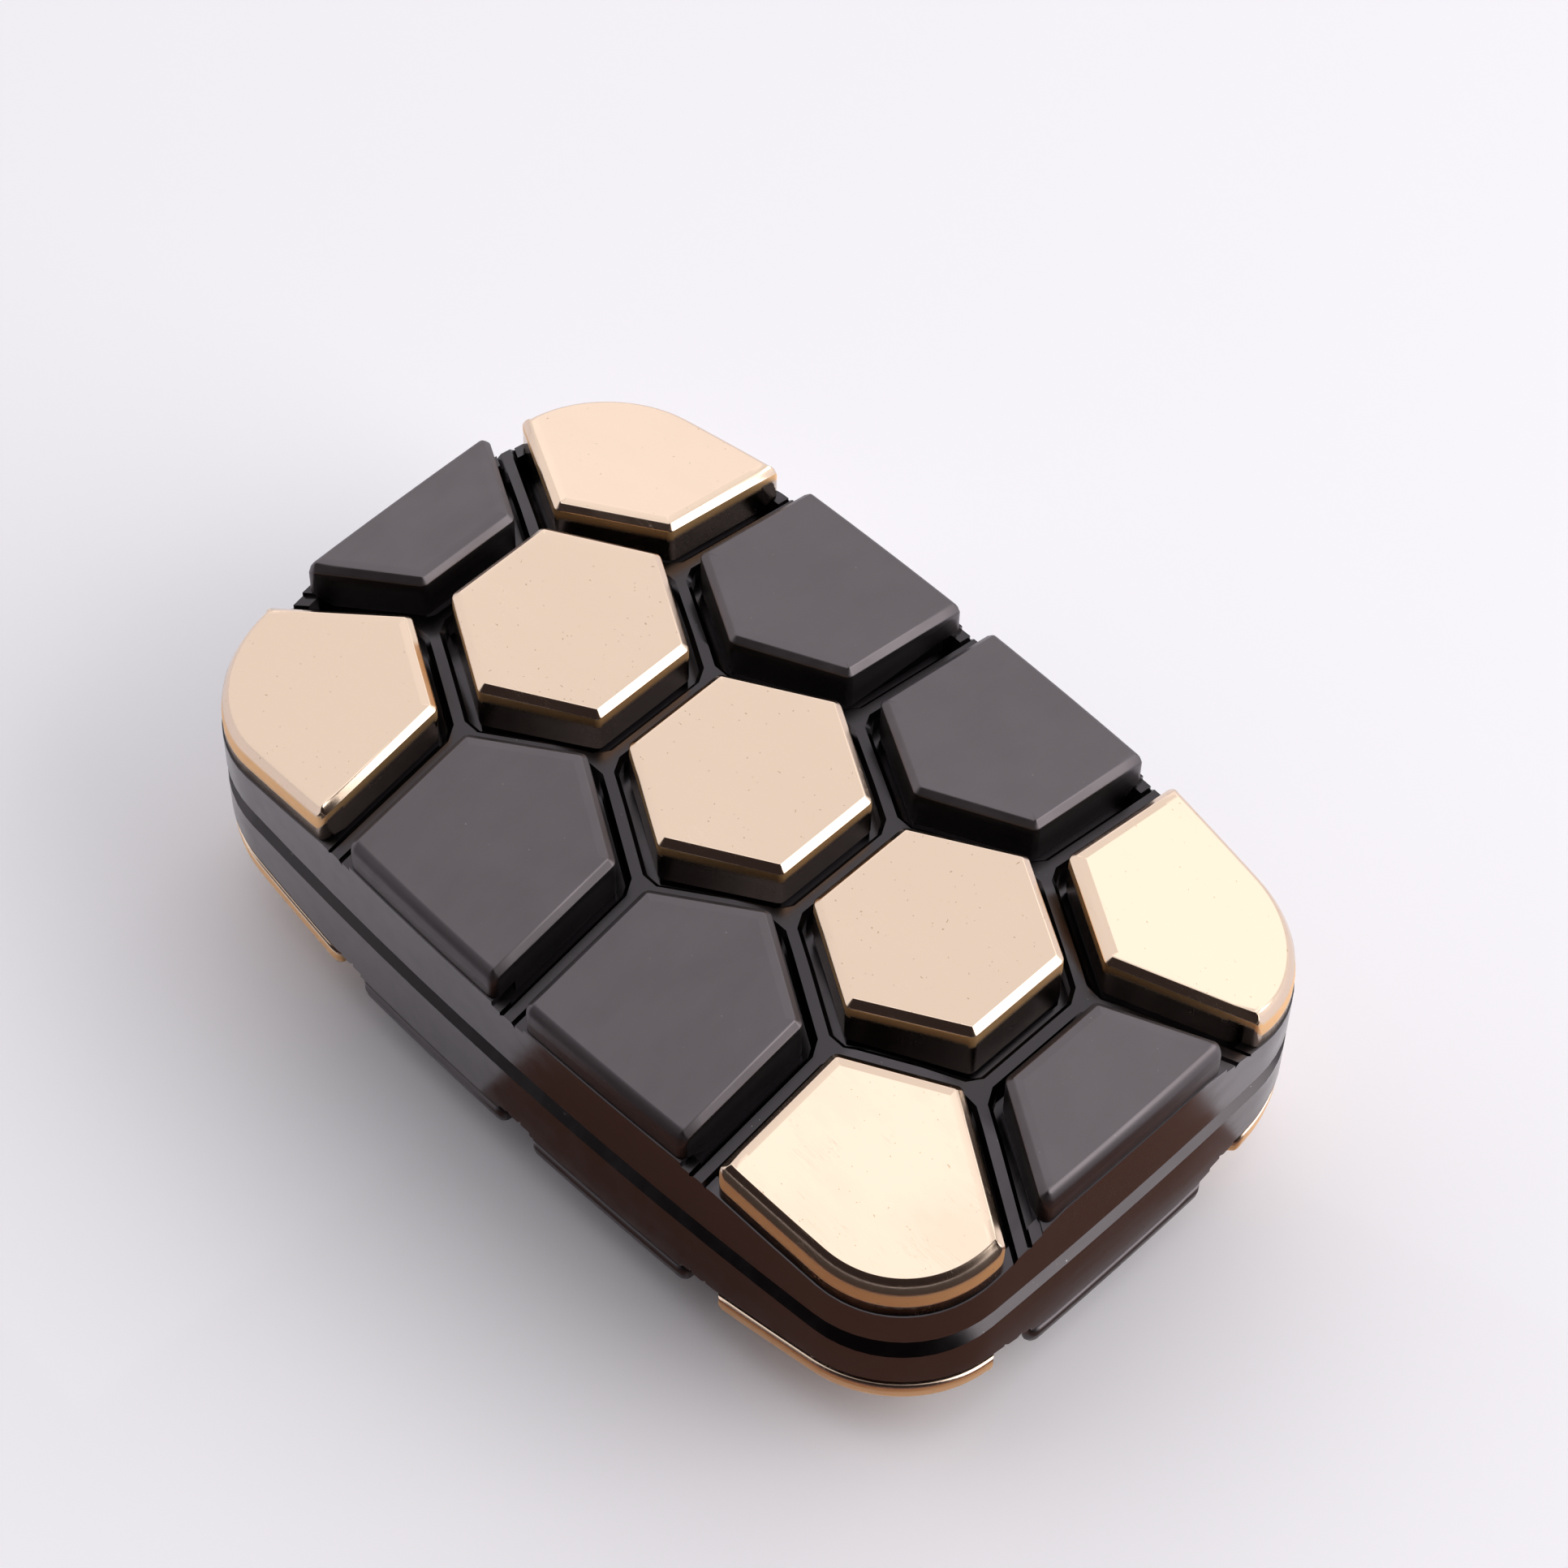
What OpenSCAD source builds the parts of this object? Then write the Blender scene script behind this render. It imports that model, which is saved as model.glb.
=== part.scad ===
// Magnetic push-slider: two domed halves, each a black plate studded with
// honeycomb tiles, held face to face by magnets and slid along their length.
// Units: mm.  X = length and sliding direction, Y = width, Z = up.
// Origin: centre of the underside of the closed slider.

/* [Plate] */
// Overall length of a half
plate_len = 55.6; // [50:0.2:60]
// Overall width of a half
plate_wid = 34.6; // [30:0.1:38]
// Height of a half, from its mating face to its flat middle tiles
half_h = 9.9; // [8.5:0.1:12]
// Radius of the four plan corners
corner_r = 6.8; // [5:0.1:9]
// Plan radius of the gently bowed long sides
side_bow_r = 270; // [200:5:600]
// Plan radius of the gently bowed ends
end_bow_r = 320; // [200:5:600]
// Running gap between the two halves
seam_gap = 0.2; // [0.1:0.05:0.3]

/* [Honeycomb] */
// Centre distance of neighbouring tiles
pitch = 13.6; // [12:0.1:15]
// Width of a hexagon tile across its flats
tile_af = 11.42; // [10:0.02:12.5]
// Thickness of the side and end tiles over the rim of the frame
side_seat = 2.1; // [1.6:0.05:2.4]
// Thickness of the corner tiles over the rim of the frame
corner_seat = 2.5; // [1.8:0.05:2.6]
// Tile thickness inside the rim, down to the floor of its pocket
tile_deep = 3; // [2.6:0.1:3.2]
// Width of the frame's rim that the outer tiles rest on
rim_w = 1.6; // [1:0.1:2.4]
// Bevel on the edges that face a neighbouring tile
inner_bevel = 0.4; // [0.2:0.05:0.8]
// Width of the steep bevel on the edges that face outward
outer_bevel_w = 0.45; // [0.2:0.05:0.8]
// Height of the steep bevel on the edges that face outward
outer_bevel_h = 1.2; // [0.4:0.05:1.4]
// Width of the channel beside each rib
channel_w = 0.55; // [0.3:0.05:0.8]
// Depth of the channels' floors below the tiles' tops
channel_deep = 3.7; // [3.2:0.1:4]
// Distance from the outer wall at which the channels stop
channel_end = 0.8; // [0.5:0.1:1.4]
// Flat across each corner of a channel
channel_corner = 0.25; // [0.1:0.05:0.4]
// Depth of the ribs' tops below the tiles' tops
rib_depth = 2.4; // [2:0.1:2.8]
// Bevel on the shoulders of the ribs
rib_bevel = 0.25; // [0.1:0.05:0.35]
// Diameter of the peg under each tile
peg_d = 4.6; // [3:0.1:6]
// Depth of the peg under each tile
peg_h = 1; // [0.6:0.1:1.2]

/* [Dome] */
// Fall of the outer tiles towards the ends, mm per mm
end_slope = 0.189; // [0:0.005:0.25]
// Fall of the outer tiles towards the long sides, mm per mm
side_slope = 0.2237; // [0:0.005:0.25]
// Distance from the middle where the fall towards the ends begins
end_fall_x = 14.7; // [12:0.1:17]
// Distance from the middle where the fall towards the sides begins
side_fall_y = 5.17; // [4:0.1:7]

/* [Base and magnets] */
// Thickness of the base behind the mating face
base_t = 2.6; // [2.4:0.1:3.4]
// Bevel around the mating face
seam_bevel = 0.7; // [0.5:0.1:1.4]
// Magnet diameter
magnet_d = 6; // [4:0.5:7]
// Magnet thickness
magnet_t = 2; // [1.5:0.1:2.2]
// Spacing of the magnets along the slide, one click
click_pitch = 11; // [9:0.5:12]
// Distance of each magnet row from the middle line
magnet_row_y = 9; // [8:0.5:11]

/* [Guide key] */
// Travel to each side, two clicks
travel = 22; // [0:1:24]
// Key length along the slide
key_len = 7; // [5:0.5:9]
// Key width, which keeps the halves square
key_w = 5; // [4:0.5:7]
// Key height above the lower mating face
key_up = 0.7; // [0.5:0.1:1]
// Key depth set into the lower base
key_down = 1.2; // [0.8:0.1:1.4]

/* [Hidden] */

brass = [0.80, 0.64, 0.40];
black = [0.13, 0.13, 0.14];
steel = [0.70, 0.70, 0.72];
nickel = [0.80, 0.80, 0.80];

$fn = 64;
big = 60;
row_y = pitch * sqrt(3) / 2;
fit_gap = 0.03;
channel_floor = 0.3;
tile_inset = 0.08;
pad_inset = 0.1;
key_side_gap = 0.15;
key_top_gap = 0.2;
key_stop_gap = 0.3;

// Screw layout and sizes: countersunk from the mating face into the frame
screw_x = 23;
screw_y = 5.2;
screw_d = 2;
screw_head_d = 3.8;
screw_len = 4;
screw_sink = 0.1;

// Outline geometry: corner circles tangent to the bowed sides and ends
bow_side_y = plate_wid / 2 - side_bow_r;
bow_end_x = plate_len / 2 - end_bow_r;
side_reach = side_bow_r - corner_r;
end_reach = end_bow_r - corner_r;
reach = norm([bow_end_x, bow_side_y]);
along = (end_reach * end_reach - side_reach * side_reach + reach * reach) / (2 * reach);
across = sqrt(end_reach * end_reach - along * along);
dir_x = -bow_end_x / reach;
dir_y = bow_side_y / reach;
corner_cx = bow_end_x + along * dir_x + across * abs(dir_y);
corner_cy = along * dir_y + across * dir_x;
side_turn = atan2(corner_cx, corner_cy - bow_side_y);
end_turn = atan2(corner_cy, corner_cx - bow_end_x);

corner_steps = 12;
bow_steps = 6;

// One quarter of the outline, inset by i, from the +X end to the +Y side
function quarter(i) = concat(
    [for (k = [0:bow_steps - 1])
        let (a = end_turn * k / bow_steps)
        [bow_end_x + (end_bow_r - i) * cos(a), (end_bow_r - i) * sin(a)]],
    [for (k = [0:corner_steps])
        let (a = end_turn + (90 - side_turn - end_turn) * k / corner_steps)
        [corner_cx + (corner_r - i) * cos(a), corner_cy + (corner_r - i) * sin(a)]],
    [for (k = [1:bow_steps])
        let (a = 90 - side_turn * (1 - k / bow_steps))
        [(side_bow_r - i) * cos(a), bow_side_y + (side_bow_r - i) * sin(a)]]
);

// The quarter turned round into the whole outline, without repeated points
function trim(q, first, last) = [for (k = [first:len(q) - 1 - last]) q[k]];
function back(q) = [for (k = [len(q) - 1:-1:0]) q[k]];
function outline(i) = let (q = quarter(i)) concat(
    trim(q, 0, 0),
    [for (p = back(trim(q, 0, 1))) [-p[0], p[1]]],
    [for (p = trim(q, 1, 0)) [-p[0], -p[1]]],
    [for (p = back(trim(q, 1, 1))) [p[0], -p[1]]]
);

// Everything behind the plane through p whose outward normal is n
module halfspace(p, n) {
    tilt = acos(n[2] / norm(n));
    turn = tilt < 0.001 ? [1, 0, 0] : [-n[1], n[0], 0];
    translate(p)
        rotate(a = tilt, v = turn)
            translate([-2 * big, -2 * big, -4 * big])
                cube([4 * big, 4 * big, 4 * big]);
}

// Tile kinds: 0 middle hexagon, 1 side, 2 corner, 3 end
function slope_x(kind, c) = kind >= 2 ? sign(c[0]) * end_slope : 0;
function slope_y(kind, c) = kind == 1 || kind == 2 ? sign(c[1]) * side_slope : 0;
function tilt_up(kind, c) = [slope_x(kind, c), slope_y(kind, c), 1];

// Height of a tile's plane at a point, below the flat middle
function drop(kind, c, p) = abs(slope_x(kind, c)) * (abs(p[0]) - end_fall_x)
    + abs(slope_y(kind, c)) * (abs(p[1]) - side_fall_y);

// How far the dome has fallen at a point
function fall(p) = end_slope * max(0, abs(p[0]) - end_fall_x)
    + side_slope * max(0, abs(p[1]) - side_fall_y);

// Everything below the dome sunk to depth d, leaning up at 45 degrees when a line is given
module dome(d, turn = 0, from = undef) {
    xs = [-2 * big, -end_fall_x, end_fall_x, 2 * big];
    ys = [-2 * big, -side_fall_y, side_fall_y, 2 * big];
    tops = [for (x = xs) for (y = ys) [x, y, half_h - d - fall([x, y]) + rise([x, y], turn, from)]];
    feet = [for (x = xs) for (y = ys) [x, y, -8 * big]];
    polyhedron(
        points = concat(tops, feet),
        faces = concat(
            [for (i = [0:2]) for (j = [0:2]) let (k = 4 * i + j) [k, k + 1, k + 5, k + 4]],
            [for (i = [0:2]) for (j = [0:2]) let (k = 16 + 4 * i + j) [k, k + 4, k + 5, k + 1]],
            [for (j = [0:2]) [17 + j, 1 + j, j, 16 + j]],
            [for (j = [0:2]) [28 + j, 12 + j, 13 + j, 29 + j]],
            [for (i = [0:2]) [16 + 4 * i, 4 * i, 4 * i + 4, 20 + 4 * i]],
            [for (i = [0:2]) [23 + 4 * i, 7 + 4 * i, 3 + 4 * i, 19 + 4 * i]]
        )
    );
}

// Height gained at 45 degrees beyond a line across a direction, at a distance from the middle
function rise(p, turn, from) = is_undef(from) ? 0 : p[0] * cos(turn) + p[1] * sin(turn) - from;

// A plan shape drawn up from depth d below the dome
module above(d) {
    difference() {
        linear_extrude(height = half_h + 1)
            children();
        dome(d);
    }
}

// Depth of a tile's seat on the rim
function seat(kind) = kind == 2 ? corner_seat : side_seat;

// Tile centres: middle row, side row, corner row, ends
hexes = [[-pitch, 0], [0, 0], [pitch, 0]];
sides = [[-pitch / 2, -row_y], [pitch / 2, -row_y], [pitch / 2, row_y], [-pitch / 2, row_y]];
corners = [
    [-1.5 * pitch, -row_y], [1.5 * pitch, -row_y],
    [1.5 * pitch, row_y], [-1.5 * pitch, row_y]
];
ends = [[-2 * pitch, 0], [2 * pitch, 0]];

// A hexagon cell, grown by g, run out past the plate where no tile adjoins it
module cell(kind, c, g = 0) {
    af = tile_af / 2 + g;
    ro = af / cos(30);
    if (kind == 0)
        translate(c)
            rotate(30)
                circle(r = ro, $fn = 6);
    else if (kind == 1)
        translate(c)
            mirror([0, c[1] < 0 ? 1 : 0])
                polygon([[0, -ro], [af, -ro / 2], [af, big], [-af, big], [-af, -ro / 2]]);
    else if (kind == 2)
        translate(c)
            mirror([c[0] < 0 ? 1 : 0, 0])
                mirror([0, c[1] < 0 ? 1 : 0])
                    polygon([
                        [0, -ro], [big, -ro + big * tan(30)],
                        [big, big], [-af, big], [-af, -ro / 2]
                    ]);
    else
        translate(c)
            mirror([c[0] < 0 ? 1 : 0, 0])
                polygon([
                    [-af, -ro / 2], [big, -ro / 2 - (big + af) * tan(30)],
                    [big, ro / 2 + (big + af) * tan(30)], [-af, ro / 2]
                ]);
}

// Directions of the bevelled edges that face other tiles
function inner_dirs(kind, c) = kind == 0 ? [0, 60, 120, 180, 240, 300]
    : kind == 1 ? (c[1] > 0 ? [0, 180, 240, 300] : [0, 180, 120, 60])
    : kind == 2 ? (c[1] > 0
        ? (c[0] > 0 ? [180, 240, 300] : [0, 300, 240])
        : (c[0] > 0 ? [180, 120, 60] : [0, 60, 120]))
    : (c[0] > 0 ? [180, 120, 240] : [0, 60, 300]);

// Directions of the bevelled edges that face outward
function outer_dirs(kind, c) = kind == 1 ? [90 * sign(c[1])]
    : kind == 2 ? [for (a = [0:22.5:90])
        c[1] > 0 ? (c[0] > 0 ? a : 180 - a) : (c[0] > 0 ? -a : a - 180)]
    : kind == 3 ? [c[0] > 0 ? 0 : 180]
    : [];

// Furthest point of the tiles' outline in a direction
function rim_point(a) = let (
        ax = abs(cos(a)),
        ay = abs(sin(a)),
        q = quarter(tile_inset),
        reaches = [for (p = q) p[0] * ax + p[1] * ay],
        far = max(reaches),
        k = search([true], [for (r = reaches) r > far - 0.0001])[0]
    ) [q[k][0] * sign(cos(a) + 0.00001), q[k][1] * sign(sin(a) + 0.00001)];

// One honeycomb tile: its cap, the deeper body inside the rim, and a peg
module tile(kind, c) {
    peg = peg_centre(kind, c);
    intersection() {
        union() {
            above(seat(kind))
                intersection() {
                    polygon(outline(tile_inset));
                    cell(kind, c);
                }
            above(tile_deep)
                intersection() {
                    polygon(outline(rim_w));
                    cell(kind, c);
                }
        }
        halfspace([c[0], c[1], half_h - drop(kind, c, c)], tilt_up(kind, c));
        inner_bevels(kind, c);
        if (kind > 0)
            outer_bevels(kind, c);
    }
    translate([peg[0], peg[1], half_h - tile_deep - drop(kind, c, peg) - peg_h])
        cylinder(d = peg_d - 2 * fit_gap, h = peg_h + tile_deep / 2);
}

// Everything inside the 45-degree bevels of the edges that face other tiles
module inner_bevels(kind, c) {
    up = tilt_up(kind, c) / norm(tilt_up(kind, c));
    intersection_for (a = inner_dirs(kind, c)) {
        p = [c[0] + tile_af / 2 * cos(a), c[1] + tile_af / 2 * sin(a)];
        halfspace(
            [p[0], p[1], half_h - drop(kind, c, p) - inner_bevel],
            [cos(a), sin(a), 0] + up
        );
    }
}

// Everything inside the steep bevels of the edges that face outward
module outer_bevels(kind, c) {
    up = tilt_up(kind, c) / norm(tilt_up(kind, c));
    intersection_for (a = outer_dirs(kind, c)) {
        p = rim_point(a);
        halfspace(
            [p[0], p[1], half_h - drop(kind, c, p) - outer_bevel_h],
            outer_bevel_h * [cos(a), sin(a), 0] + outer_bevel_w * up
        );
    }
}

// The peg sits under the middle of what the outline leaves of the tile
function peg_centre(kind, c) = kind < 3 ? c : [sign(c[0]) * (2 * pitch - 2.6), 0];

// All tiles of a half as [kind, centre]
all_tiles = concat(
    [for (c = hexes) [0, c]],
    [for (c = sides) [1, c]],
    [for (c = corners) [2, c]],
    [for (c = ends) [3, c]]
);

// The black frame: domed top, pockets for the tiles, ribs between them
module frame() {
    difference() {
        translate([0, 0, base_t])
            linear_extrude(height = half_h - base_t)
                polygon(outline(0));
        for (t = all_tiles)
            pocket(t[0], t[1]);
        above(rib_depth)
            difference() {
                square(2 * big, center = true);
                for (t = all_tiles)
                    cell(t[0], t[1], -pad_inset);
            }
        at_screws()
            translate([0, 0, base_t - 1])
                cylinder(d = screw_d + 2 * fit_gap, h = screw_len + screw_sink - base_t + 1.1);
    }
}

// A tile's pocket: the seat on the rim, the floor and the peg hole, with the
// channel that leaves a pad standing under the tile
module pocket(kind, c) {
    peg = peg_centre(kind, c);
    above(seat(kind))
        channel_plan(kind, c, channel_w);
    above(tile_deep)
        intersection() {
            polygon(outline(rim_w - fit_gap));
            channel_plan(kind, c, channel_w);
        }
    channel(kind, c);
    shoulder(kind, c);
    translate([peg[0], peg[1], half_h - tile_deep - drop(kind, c, peg) - peg_h - 0.1])
        cylinder(d = peg_d, h = peg_h + tile_deep / 2);
}

// The deep channel around a tile, always leaving a floor above the base
module channel(kind, c) {
    difference() {
        above(channel_deep)
            intersection() {
                polygon(outline(channel_end));
                difference() {
                    channel_plan(kind, c, channel_w);
                    cell(kind, c, -pad_inset);
                }
            }
        translate([-big, -big, -big])
            cube([2 * big, 2 * big, big + base_t + channel_floor]);
    }
}

// The 45-degree bevel along the shoulders of the ribs around a tile
module shoulder(kind, c) {
    dirs = inner_dirs(kind, c);
    difference() {
        linear_extrude(height = half_h + 1)
            difference() {
                channel_plan(kind, c, channel_w + rib_bevel);
                channel_plan(kind, c, channel_w - fit_gap);
            }
        for (a = dirs)
            dome(rib_depth + rib_bevel, a, centre_along(c, a) + tile_af / 2 + channel_w);
        for (a = corner_dirs(dirs))
            dome(rib_depth + rib_bevel, a, centre_along(c, a) + corner_reach(channel_w));
    }
}

// A cell grown by g, with a small flat across each corner between two tiles
module channel_plan(kind, c, g) {
    difference() {
        cell(kind, c, g);
        for (a = corner_dirs(inner_dirs(kind, c)))
            translate(c)
                rotate(a)
                    translate([corner_reach(g), -big])
                        square(2 * big);
    }
}

// Directions of the corners between neighbouring bevelled edges
function corner_dirs(dirs) = [
    for (a = dirs)
        for (b = dirs)
            if ((a + 60) % 360 == b) a + 30
];

// Distance from a cell's centre to the flats across its corners
function corner_reach(g) = (tile_af / 2 + channel_w) / cos(30) - channel_corner + g - channel_w;

function centre_along(c, a) = c[0] * cos(a) + c[1] * sin(a);

// The base: bevelled mating edge, magnet pockets from behind, screw holes
module base(grooved) {
    difference() {
        union() {
            skin(0, seam_bevel, seam_bevel, 0);
            translate([0, 0, seam_bevel])
                linear_extrude(height = base_t - seam_bevel)
                    polygon(outline(0));
        }
        for (k = [0:7])
            translate([magnet_at(k)[0], magnet_at(k)[1], base_t - magnet_t - 0.1])
                cylinder(d = magnet_d + 2 * fit_gap, h = magnet_t + 1);
        at_screws() {
            translate([0, 0, -1])
                cylinder(d = screw_d + 0.3, h = base_t + 2);
            translate([0, 0, -0.01])
                cylinder(
                    d1 = screw_head_d + 2 * screw_sink + 2 * fit_gap,
                    d2 = screw_d,
                    h = (screw_head_d - screw_d) / 2 + screw_sink
                );
        }
        if (grooved)
            block(
                2 * (travel + key_stop_gap) + key_len,
                key_w + 2 * key_side_gap,
                -1,
                key_up + key_top_gap - seam_gap
            );
        else
            block(key_len + 2 * fit_gap, key_w + 2 * fit_gap, -1, key_down + fit_gap);
    }
}

// A block centred in plan, from height z0 to height z1
module block(len, wid, z0, z1) {
    translate([-len / 2, -wid / 2, z0])
        cube([len, wid, z1 - z0]);
}

// Straight-sided transition between two insets of the outline
module skin(z0, z1, i0, i1) {
    a = outline(i0);
    b = outline(i1);
    n = len(a);
    polyhedron(
        points = concat([for (p = a) [p[0], p[1], z0]], [for (p = b) [p[0], p[1], z1]]),
        faces = concat(
            [[for (k = [0:n - 1]) k]],
            [[for (k = [n - 1:-1:0]) n + k]],
            [for (k = [0:n - 1]) [k, n + k, n + (k + 1) % n, (k + 1) % n]]
        )
    );
}

function magnet_at(k) = [
    ((k % 4) - 1.5) * click_pitch,
    (k < 4 ? -1 : 1) * magnet_row_y
];

module magnet(k) {
    translate([magnet_at(k)[0], magnet_at(k)[1], base_t - magnet_t - 0.05])
        cylinder(d = magnet_d, h = magnet_t);
}

module at_screws() {
    for (mx = [-1, 1])
        for (my = [-1, 1])
            translate([mx * screw_x, my * screw_y, 0])
                children();
}

// Countersunk screw with a hexagon socket in its head
module screw(k) {
    head_h = (screw_head_d - screw_d) / 2;
    translate([(k % 2 == 0 ? -1 : 1) * screw_x, (k < 2 ? -1 : 1) * screw_y, screw_sink])
        difference() {
            union() {
                cylinder(d1 = screw_head_d, d2 = screw_d, h = head_h);
                cylinder(d = screw_d, h = screw_len - screw_sink);
            }
            translate([0, 0, -0.5])
                cylinder(d = 1.3 / cos(30), h = 1.2, $fn = 6);
        }
}

// The steel key set into the lower base, with its two long top edges eased
module key() {
    difference() {
        block(key_len, key_w, -key_down, key_up);
        for (s = [-1, 1])
            translate([0, s * key_w / 2, key_up])
                rotate([45, 0, 0])
                    cube([2 * key_len, 0.35, 0.35], center = true);
    }
}

// A half is drawn with its mating face at 0 and its tiles up
module as_lower() {
    translate([0, 0, half_h])
        mirror([0, 0, 1])
            children();
}

module as_upper() {
    translate([0, 0, half_h + seam_gap])
        children();
}

module lower_base() color(black) as_lower() base(false);
module lower_frame() color(black) as_lower() frame();
module lower_hex(k) color(brass) as_lower() tile(0, hexes[k]);
module lower_side(k) color(black) as_lower() tile(1, sides[k]);
module lower_corner(k) color(brass) as_lower() tile(2, corners[k]);
module lower_end(k) color(black) as_lower() tile(3, ends[k]);
module lower_magnet(k) color(nickel) as_lower() magnet(k);
module lower_screw(k) color(steel) as_lower() screw(k);
module guide_key() color(steel) translate([0, 0, half_h]) key();
module upper_base() color(black) as_upper() base(true);
module upper_frame() color(black) as_upper() frame();
module upper_hex(k) color(brass) as_upper() tile(0, hexes[k]);
module upper_side(k) color(black) as_upper() tile(1, sides[k]);
module upper_corner(k) color(brass) as_upper() tile(2, corners[k]);
module upper_end(k) color(black) as_upper() tile(3, ends[k]);
module upper_magnet(k) color(nickel) as_upper() magnet(k);
module upper_screw(k) color(steel) as_upper() screw(k);

lower_base();
lower_frame();
lower_hex(0);  // lower_hex_1
lower_hex(1);  // lower_hex_2
lower_hex(2);  // lower_hex_3
lower_side(0);  // lower_side_1
lower_side(1);  // lower_side_2
lower_side(2);  // lower_side_3
lower_side(3);  // lower_side_4
lower_corner(0);  // lower_corner_1
lower_corner(1);  // lower_corner_2
lower_corner(2);  // lower_corner_3
lower_corner(3);  // lower_corner_4
lower_end(0);  // lower_end_1
lower_end(1);  // lower_end_2
lower_magnet(0);  // lower_magnet_1
lower_magnet(1);  // lower_magnet_2
lower_magnet(2);  // lower_magnet_3
lower_magnet(3);  // lower_magnet_4
lower_magnet(4);  // lower_magnet_5
lower_magnet(5);  // lower_magnet_6
lower_magnet(6);  // lower_magnet_7
lower_magnet(7);  // lower_magnet_8
lower_screw(0);  // lower_screw_1
lower_screw(1);  // lower_screw_2
lower_screw(2);  // lower_screw_3
lower_screw(3);  // lower_screw_4
guide_key();
upper_base();
upper_frame();
upper_hex(0);  // upper_hex_1
upper_hex(1);  // upper_hex_2
upper_hex(2);  // upper_hex_3
upper_side(0);  // upper_side_1
upper_side(1);  // upper_side_2
upper_side(2);  // upper_side_3
upper_side(3);  // upper_side_4
upper_corner(0);  // upper_corner_1
upper_corner(1);  // upper_corner_2
upper_corner(2);  // upper_corner_3
upper_corner(3);  // upper_corner_4
upper_end(0);  // upper_end_1
upper_end(1);  // upper_end_2
upper_magnet(0);  // upper_magnet_1
upper_magnet(1);  // upper_magnet_2
upper_magnet(2);  // upper_magnet_3
upper_magnet(3);  // upper_magnet_4
upper_magnet(4);  // upper_magnet_5
upper_magnet(5);  // upper_magnet_6
upper_magnet(6);  // upper_magnet_7
upper_magnet(7);  // upper_magnet_8
upper_screw(0);  // upper_screw_1
upper_screw(1);  // upper_screw_2
upper_screw(2);  // upper_screw_3
upper_screw(3);  // upper_screw_4
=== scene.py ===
"""Looks of the magnetic push slider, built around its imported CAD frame."""

import math

import bpy
from mathutils import Matrix, Vector


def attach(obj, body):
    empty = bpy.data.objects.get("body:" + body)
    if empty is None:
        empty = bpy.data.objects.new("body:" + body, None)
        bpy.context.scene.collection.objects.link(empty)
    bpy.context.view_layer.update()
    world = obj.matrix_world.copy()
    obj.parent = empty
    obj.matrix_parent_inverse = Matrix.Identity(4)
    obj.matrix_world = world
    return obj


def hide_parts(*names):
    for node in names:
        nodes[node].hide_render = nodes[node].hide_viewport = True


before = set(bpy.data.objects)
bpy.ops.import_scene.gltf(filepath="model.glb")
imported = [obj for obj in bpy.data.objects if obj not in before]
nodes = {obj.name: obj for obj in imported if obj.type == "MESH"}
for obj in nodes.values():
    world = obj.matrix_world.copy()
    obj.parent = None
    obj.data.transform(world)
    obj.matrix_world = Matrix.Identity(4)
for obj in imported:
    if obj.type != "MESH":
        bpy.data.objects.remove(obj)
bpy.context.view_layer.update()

# ---------------------------------------------------------------- dimensions, mm
MM = 0.001

# honeycomb: pitch of the tiles, their width across flats and the distance of the side rows
PITCH = 13.6
TILE_AF = 11.42
ROW_Y = PITCH * math.sqrt(3) / 2

# one half: thickness, and the gap between the mating faces
HALF_H = 9.9
SEAM_GAP = 0.2

# plan of a half: length, width, corner radius and the radii of the bowed sides and ends
PLATE_LEN = 55.6
PLATE_WID = 34.6
CORNER_R = 6.8
SIDE_BOW_R = 270.0
END_BOW_R = 320.0

# dome: fall per mm beyond the flat middle, towards the ends and the sides
END_SLOPE = 0.189
SIDE_SLOPE = 0.2237
END_FALL_X = 14.7
SIDE_FALL_Y = 5.17

# tiles: undersides over the rim and in the pockets, width of the rim, distance to the outline
SIDE_SEAT = 2.1
CORNER_SEAT = 2.5
TILE_DEEP = 3.0
RIM_W = 1.6
RIM_STEP = 0.015
TILE_INSET = 0.08

# plan radius of a tile's corners, and the least it may shrink to inside and on the outline
PLAN_R = 0.5
PLAN_R_MIN = 0.1
RIM_R_MIN = 0.12
FILLET_STEPS = 6

# straight edges of a tile: width of the bevel, its eased ends, and the strip above it
INNER_CUT = 0.4
INNER_STEPS = 6
EASE = 0.05
DIAGONAL = 0.7071
EASE_BEND = 0.35
EASE_NUDGE = 0.05
STRIP_W = 0.34

# outline edges of a tile: a steep foot above a crisp lip, then turning level
OUTER_HIGH = 0.95
OUTER_HIGH_CORNER = 1.2
OUTER_STEPS = 8
OUTER_FOOT_STEPS = 3
OUTER_FOOT = math.radians(8)
OUTER_START = math.radians(26)
OUTER_STOP = math.radians(75)
OUTER_POWER = 3
LIP = 0.012
CRISP = 0.03

# two flat rings that keep the shading of the top level: steps inwards on each kind of edge
FLAT_IN = 0.06
FLAT_OUT = (0.02, 0.08)

# shading: edges over this angle stay crisp, and how strongly large faces rule the normals
CREASE_ANGLE = math.radians(28)
NORMAL_WEIGHT = 90
WELD = 0.002

# rounded edges of the magnets, and of the screws and the key
MAGNET_EDGE = 0.15
STEEL_EDGE = 0.04

# search for a point at a given depth: longest reach and number of halvings
REACH = 40.0
HALVINGS = 50

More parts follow.
